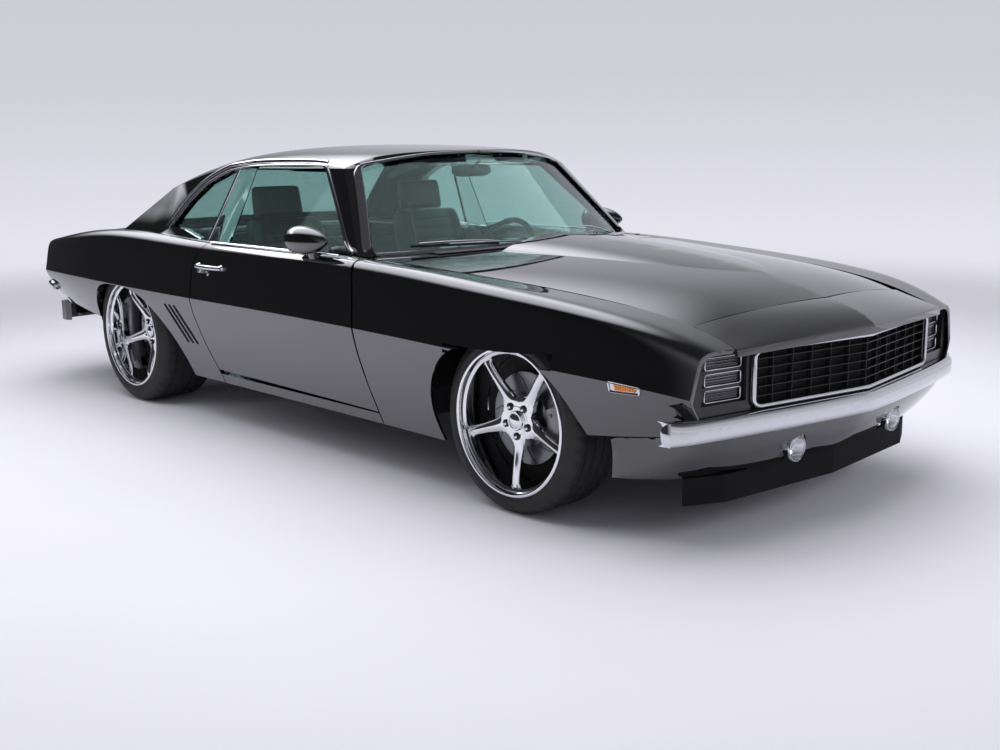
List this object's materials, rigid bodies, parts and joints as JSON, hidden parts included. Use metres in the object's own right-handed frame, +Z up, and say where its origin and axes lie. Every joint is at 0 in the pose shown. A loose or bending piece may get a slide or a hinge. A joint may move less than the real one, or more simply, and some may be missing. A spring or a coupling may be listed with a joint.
{
  "type": "two-door muscle car",
  "caption": "Low two-door hardtop coupe with a long raised hood, egg-crate grille, hidden headlamps, chrome bumpers and wide star-spoke wheels; doors, hood, trunk lid, steering and wheels move.",
  "frame": {"origin": "on the ground under the middle of the car", "axes": "+Z up, nose towards -Y, the car's left side towards +X"},
  "size_m": [1.906, 4.724, 1.276],
  "materials": {
    "black_paint": "gloss black",
    "satin_black": "satin black underbody coat",
    "chrome": "polished",
    "rim_chrome": "polished",
    "tyre": "matte rubber",
    "glass": "green tinted",
    "lamp": "clear lens",
    "amber_lamp": "amber lens",
    "red_lamp": "red lens",
    "black_trim": "matte black",
    "grille_black": "semi-gloss black",
    "seat_cloth": "black grained vinyl",
    "steel": "brushed",
    "cast_iron": "rough"
  },
  "bodies": {
    "chassis": {"fenders": "black_paint", "quarters": "black_paint", "rockers": "black_paint", "cowl": "black_paint", "deck_panel": "black_paint", "roof": "black_paint", "windshield": "glass", "rear_glass": "glass", "quarter_glass": "glass", "header_panel": "black_paint", "grille": "grille_black", "headlamps": "chrome", "bumper_front": "chrome", "front_valance": "black_trim", "fog_lamps": "lamp", "air_dam": "black_trim", "side_markers": "amber_lamp", "tail_panel": "black_paint", "tail_lamps": "red_lamp", "bumper_rear": "chrome", "rear_valance": "black_trim", "control_arms": "satin_black", "front_rails": "satin_black", "floor_pan": "satin_black", "wheelhouses": "satin_black", "door_pillars": "satin_black", "rear_axle": "satin_black", "fuel_tank": "satin_black", "engine_mass": "cast_iron", "driveline": "satin_black", "exhaust": "steel", "dashboard": "black_trim", "steering_wheel": "black_trim", "seats_front": "seat_cloth", "seat_rear": "seat_cloth", "rear_shelf": "black_trim", "inside_mirror": "black_trim", "wipers": "chrome"},
    "door_left": {"door_left": "black_paint", "door_glass_left": "glass", "door_fittings_left": "chrome"},
    "door_right": {"door_right": "black_paint", "door_glass_right": "glass", "door_fittings_right": "chrome"},
    "hood": {"hood": "black_paint"},
    "trunk_lid": {"trunk_lid": "black_paint"},
    "knuckle_left": {"knuckle_left": "cast_iron"},
    "knuckle_right": {"knuckle_right": "cast_iron"},
    "wheel_front_left": {"tyre_front_left": "tyre", "rim_front_left": "rim_chrome"},
    "wheel_front_right": {"tyre_front_right": "tyre", "rim_front_right": "rim_chrome"},
    "wheel_rear_left": {"tyre_rear_left": "tyre", "rim_rear_left": "rim_chrome"},
    "wheel_rear_right": {"tyre_rear_right": "tyre", "rim_rear_right": "rim_chrome"}
  },
  "joints": [
    {"name": "door_left_swing", "type": "hinge", "parent": "chassis", "child": "door_left", "pos_m": [0.82678, -0.557, 0.58597], "axis": [0, 0, 1], "range_deg": [-65, 0]},
    {"name": "door_right_swing", "type": "hinge", "parent": "chassis", "child": "door_right", "pos_m": [-0.82678, -0.557, 0.58597], "axis": [0, 0, 1], "range_deg": [0, 65]},
    {"name": "hood_lift", "type": "hinge", "parent": "chassis", "child": "hood", "pos_m": [0, -0.64842, 0.80934], "axis": [1, 0, 0], "range_deg": [-50, 0]},
    {"name": "trunk_lift", "type": "hinge", "parent": "chassis", "child": "trunk_lid", "pos_m": [0, 1.415, 0.83197], "axis": [1, 0, 0], "range_deg": [0, 65]},
    {"name": "steer_left", "type": "hinge", "parent": "chassis", "child": "knuckle_left", "pos_m": [0.712, -1.447, 0.332], "axis": [0, 0, 1], "range_deg": [-30, 30]},
    {"name": "spin_front_left", "type": "hinge", "parent": "knuckle_left", "child": "wheel_front_left", "pos_m": [0.808, -1.447, 0.332], "axis": [1, 0, 0], "continuous": true},
    {"name": "spin_rear_left", "type": "hinge", "parent": "chassis", "child": "wheel_rear_left", "pos_m": [0.76, 1.296, 0.346], "axis": [1, 0, 0], "continuous": true},
    {"name": "steer_right", "type": "hinge", "parent": "chassis", "child": "knuckle_right", "pos_m": [-0.712, -1.447, 0.332], "axis": [0, 0, 1], "range_deg": [-30, 30]},
    {"name": "spin_front_right", "type": "hinge", "parent": "knuckle_right", "child": "wheel_front_right", "pos_m": [-0.808, -1.447, 0.332], "axis": [1, 0, 0], "continuous": true},
    {"name": "spin_rear_right", "type": "hinge", "parent": "chassis", "child": "wheel_rear_right", "pos_m": [-0.76, 1.296, 0.346], "axis": [1, 0, 0], "continuous": true}
  ],
  "couplings": [
    {"joint": "steer_right", "follows": "steer_left", "ratio": 1}
  ]
}
